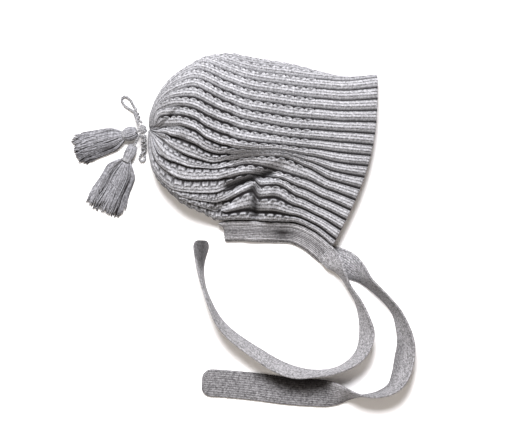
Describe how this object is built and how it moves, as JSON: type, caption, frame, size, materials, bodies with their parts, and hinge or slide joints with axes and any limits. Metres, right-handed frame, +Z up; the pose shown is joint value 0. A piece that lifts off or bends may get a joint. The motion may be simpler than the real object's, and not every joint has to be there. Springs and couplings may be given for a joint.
{
  "type": "baby bonnet",
  "caption": "Hand-knitted ribbed baby bonnet lying on its side, gathered at the back by a cord bow with two tassels, with a neckband and two wide ties.",
  "frame": {"origin": "middle of the whole bonnet's footprint, on the surface that it lies on", "axes": "+X from the gather at the back to the face edge, +Y from the neck to the top of the head, +Z up, through the bonnet's side"},
  "size_m": [0.3242, 0.3276, 0.0568],
  "materials": {
    "crown_knit": "rib and lace knitting in light heather grey wool",
    "band_knit": "fine rib knitting in light heather grey wool",
    "tie_knit": "plain knitting in light heather grey wool",
    "cord_yarn": "two-ply twisted cord of heather grey wool",
    "tassel_yarn": "cut strands of light heather grey wool"
  },
  "bodies": {
    "root": {"crown": "crown_knit", "neckband": "band_knit", "tie_near": "tie_knit", "tie_far": "tie_knit", "bow_knot": "cord_yarn", "bow_loop_upper": "cord_yarn", "bow_loop_lower": "cord_yarn", "tassel_upper": "tassel_yarn", "tassel_lower": "tassel_yarn"}
  },
  "joints": []
}
